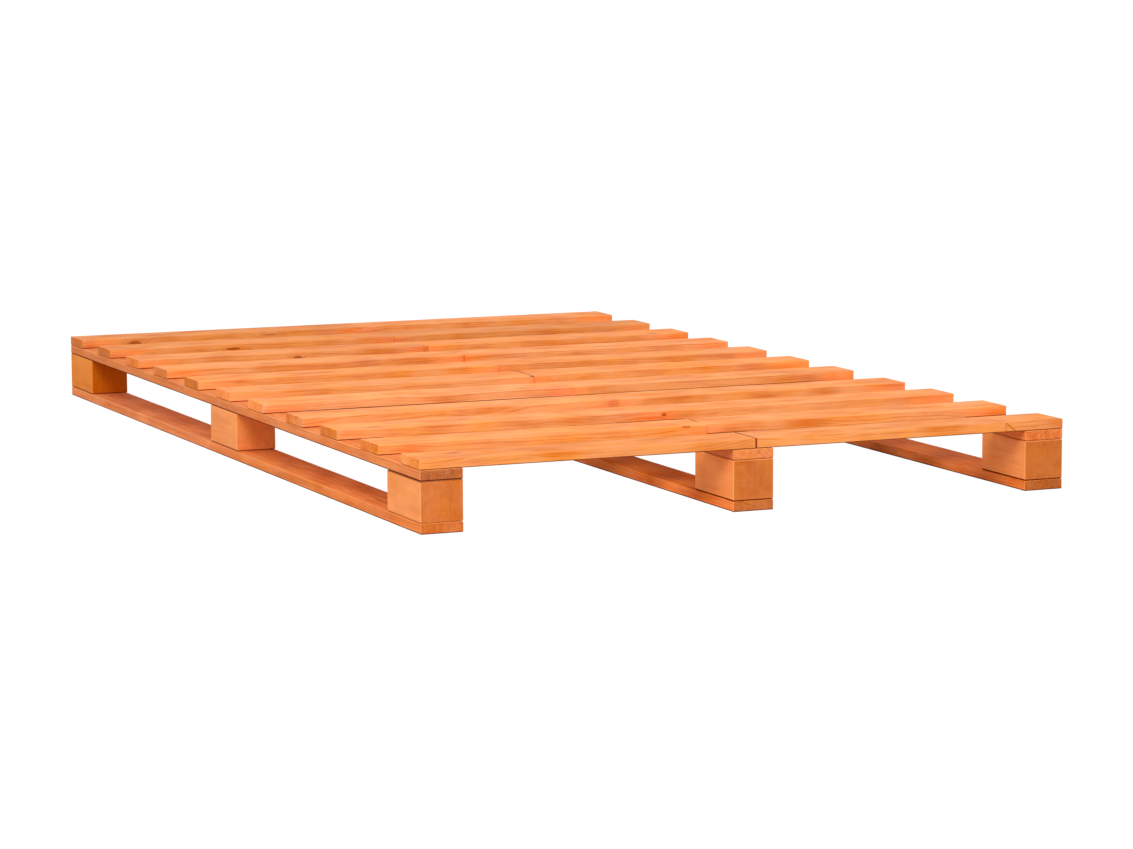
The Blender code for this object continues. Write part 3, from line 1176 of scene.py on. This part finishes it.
studio = {
    "floorColour": "d2d0cd",
    "worldColour": "ffffff",
    "worldStrength": 0.78,
    "lampPlace": (-2.6, -4.2, 3.9),
    "lampAim": (0, -0.2, 0.1),
    "lampSize": 2.6,
    "lampPower": 190,
    "floorSize": 60,
    "floorWhite": 1.12,  # makes up for the floor's own share, so that it comes out white
    "shadowShare": 0.14,  # how much of the floor's own shading the camera sees
}


def seenShare(tree):
    # 1 for what the camera sees, in a mirror or through glass too, and 0 for what lights the bed
    rays = addNode(tree, "ShaderNodeLightPath", {}).node.outputs
    seen = rays["Is Camera Ray"]
    for ray in ("Is Glossy Ray", "Is Transmission Ray"):
        seen = addNode(tree, "ShaderNodeMath", {0: seen, 1: rays[ray]}, operation="MAXIMUM")
    return seen


def makeFloor():
    mesh = bpy.data.meshes.new("floor")
    half = studio["floorSize"] / 2
    corners = [(-half, -half, 0), (half, -half, 0), (half, half, 0), (-half, half, 0)]
    mesh.from_pydata(corners, [], [(0, 1, 2, 3)])
    floor = bpy.data.objects.new("floor", mesh)
    bpy.context.scene.collection.objects.link(floor)
    material = bpy.data.materials.new("painted studio floor")
    material.use_nodes = True
    tree = material.node_tree
    tree.nodes.remove(tree.nodes["Principled BSDF"])
    geometry = addNode(tree, "ShaderNodeNewGeometry", {}).node.outputs
    paint = addNode(tree, "ShaderNodeBsdfDiffuse", {0: toLinear(studio["floorColour"])})
    white = addNode(tree, "ShaderNodeEmission", {0: (1, 1, 1, 1), 1: studio["floorWhite"]})
    whiteShare = addNode(
        tree, "ShaderNodeMath", {0: seenShare(tree), 1: 1 - studio["shadowShare"]}, operation="MULTIPLY"
    )
    top = addNode(tree, "ShaderNodeMixShader", {0: whiteShare, 1: paint, 2: white})
    clear = addNode(tree, "ShaderNodeBsdfTransparent", {})
    surface = addNode(tree, "ShaderNodeMixShader", {0: geometry["Backfacing"], 1: top, 2: clear})
    tree.links.new(surface, tree.nodes["Material Output"].inputs["Surface"])
    mesh.materials.append(material)


def makeLight():
    world = bpy.data.worlds.new("white surroundings")
    bpy.context.scene.world = world
    world.use_nodes = True
    tree = world.node_tree
    strength = addNode(
        tree, "ShaderNodeMapRange", {0: seenShare(tree), 3: studio["worldStrength"], 4: 1}
    )
    background = tree.nodes["Background"]
    background.inputs["Color"].default_value = toLinear(studio["worldColour"])
    tree.links.new(strength, background.inputs["Strength"])
    lamp = bpy.data.lights.new("soft box", "AREA")
    lamp.shape = "SQUARE"
    lamp.size = studio["lampSize"]
    lamp.energy = studio["lampPower"]
    holder = bpy.data.objects.new("soft box", lamp)
    bpy.context.scene.collection.objects.link(holder)
    holder.location = studio["lampPlace"]
    aim = Vector(studio["lampAim"]) - holder.location
    holder.rotation_euler = aim.to_track_quat("-Z", "Y").to_euler()
    holder.visible_camera = False


makeFloor()
makeLight()
print("studio lit")


# Camera: a long lens from the front left, a little above the deck

view = {
    "place": (-2.8123, -6.6856, 0.9962),
    "pitch": 7.631,  # degrees below level
    "turn": -24.2945,  # degrees from the +Y direction
    "roll": -0.085,  # degrees
    "focal": 3815.5,  # in pixels of the picture
    "middle": 620.0,  # where the lens axis meets the picture, in pixels from its left
    "pictureWidth": 1133,
    "sensorWidth": 36,  # millimetres
    "farthest": 200,
}


def makeCamera():
    lens = bpy.data.cameras.new("camera")
    lens.sensor_width = view["sensorWidth"]
    lens.lens = view["focal"] / view["pictureWidth"] * view["sensorWidth"]
    lens.shift_x = 0.5 - view["middle"] / view["pictureWidth"]
    lens.clip_end = view["farthest"]
    camera = bpy.data.objects.new("camera", lens)
    bpy.context.scene.collection.objects.link(camera)
    camera.location = view["place"]
    aim = Euler((math.radians(90 - view["pitch"]), 0, math.radians(view["turn"]))).to_matrix()
    camera.rotation_euler = (aim @ Euler((0, 0, math.radians(view["roll"]))).to_matrix()).to_euler()
    bpy.context.scene.camera = camera


makeCamera()
bpy.context.scene.view_settings.view_transform = "Standard"
print("camera set")
